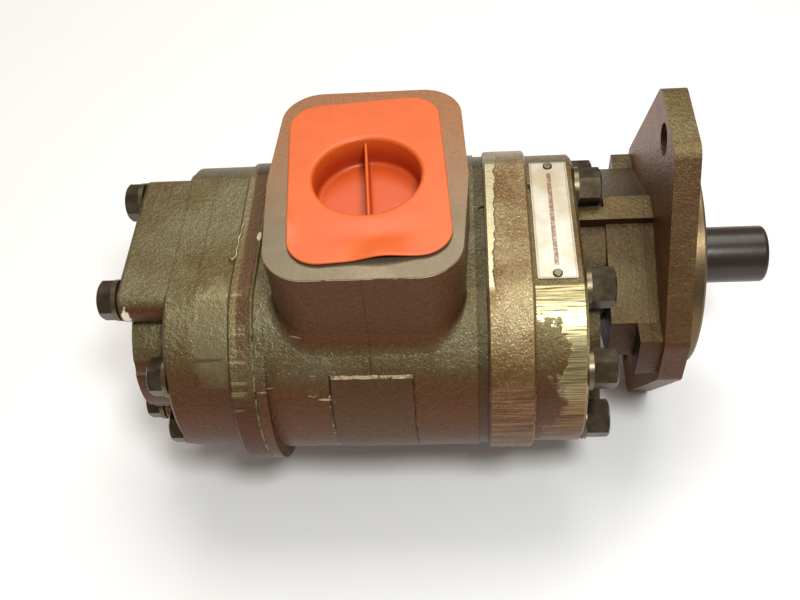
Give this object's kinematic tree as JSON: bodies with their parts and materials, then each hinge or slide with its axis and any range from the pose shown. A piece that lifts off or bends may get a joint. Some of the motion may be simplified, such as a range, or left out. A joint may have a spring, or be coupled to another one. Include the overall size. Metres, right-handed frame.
{
  "type": "tandem gear pump",
  "caption": "Tandem gear pump: two gear sections on one drive shaft, with a shared inlet port, a bolted mounting flange with pilot and shipping caps.",
  "frame": {"origin": "centre of the mounting face on the drive shaft's axis", "axes": "+X runs out along the drive shaft, +Z points out of the inlet port, and the driven gears lie towards -Y"},
  "size_m": [0.3719, 0.202, 0.211],
  "materials": {
    "cast_iron": "cast and washed, slightly rusty",
    "gear_steel": "ground",
    "bronze": "turned",
    "screw_steel": "black oxide",
    "washer_steel": "bright",
    "spring_steel": "oiled",
    "seal_rubber": "matte",
    "plate_aluminium": "brushed",
    "orange_plastic": "moulded",
    "black_plastic": "glossy"
  },
  "bodies": {
    "pump_body": {"shaft_end_cover": "cast_iron", "front_gear_housing": "cast_iron", "bearing_carrier": "cast_iron", "rear_gear_housing": "cast_iron", "port_end_cover": "cast_iron", "front_cover_thrust_plate": "bronze", "front_carrier_thrust_plate": "bronze", "rear_carrier_thrust_plate": "bronze", "port_cover_thrust_plate": "bronze", "front_cover_drive_bushing": "bronze", "front_cover_driven_bushing": "bronze", "front_carrier_drive_bushing": "bronze", "front_carrier_driven_bushing": "bronze", "rear_carrier_drive_bushing": "bronze", "rear_carrier_driven_bushing": "bronze", "port_cover_drive_bushing": "bronze", "port_cover_driven_bushing": "bronze", "front_cover_seal": "seal_rubber", "front_carrier_seal": "seal_rubber", "rear_carrier_seal": "seal_rubber", "port_cover_seal": "seal_rubber", "shaft_seal": "seal_rubber", "seal_retaining_ring": "spring_steel", "front_dowels": "gear_steel", "rear_dowels": "gear_steel", "front_cap_screws": "screw_steel", "front_washers": "washer_steel", "rear_long_cap_screws": "screw_steel", "rear_short_cap_screws": "screw_steel", "rear_washers": "washer_steel", "name_plate": "plate_aluminium", "plate_drive_screws": "washer_steel"},
    "drive_line": {"drive_gear_shaft": "gear_steel", "splined_coupling": "gear_steel", "rear_drive_gear": "gear_steel"},
    "front_driven": {"front_driven_gear": "gear_steel"},
    "rear_driven": {"rear_driven_gear": "gear_steel"},
    "inlet_cap_body": {"inlet_cap": "orange_plastic"},
    "shaft_cap_body": {"shaft_cap": "black_plastic"}
  },
  "joints": [
    {"name": "drive_spin", "type": "hinge", "parent": "pump_body", "child": "drive_line", "pos_m": [0, 0, 0], "axis": [1, 0, 0], "continuous": true},
    {"name": "front_driven_spin", "type": "hinge", "parent": "pump_body", "child": "front_driven", "pos_m": [0, -0.054, 0], "axis": [1, 0, 0], "continuous": true},
    {"name": "rear_driven_spin", "type": "hinge", "parent": "pump_body", "child": "rear_driven", "pos_m": [0, -0.054, 0], "axis": [1, 0, 0], "continuous": true},
    {"name": "inlet_cap_pull", "type": "slide", "parent": "pump_body", "child": "inlet_cap_body", "axis": [0, 0, 1], "range_m": [0, 0.03]},
    {"name": "shaft_cap_pull", "type": "slide", "parent": "drive_line", "child": "shaft_cap_body", "axis": [1, 0, 0], "range_m": [0, 0.05]}
  ],
  "couplings": [
    {"joint": "front_driven_spin", "follows": "drive_spin", "ratio": -1},
    {"joint": "rear_driven_spin", "follows": "drive_spin", "ratio": -1}
  ]
}
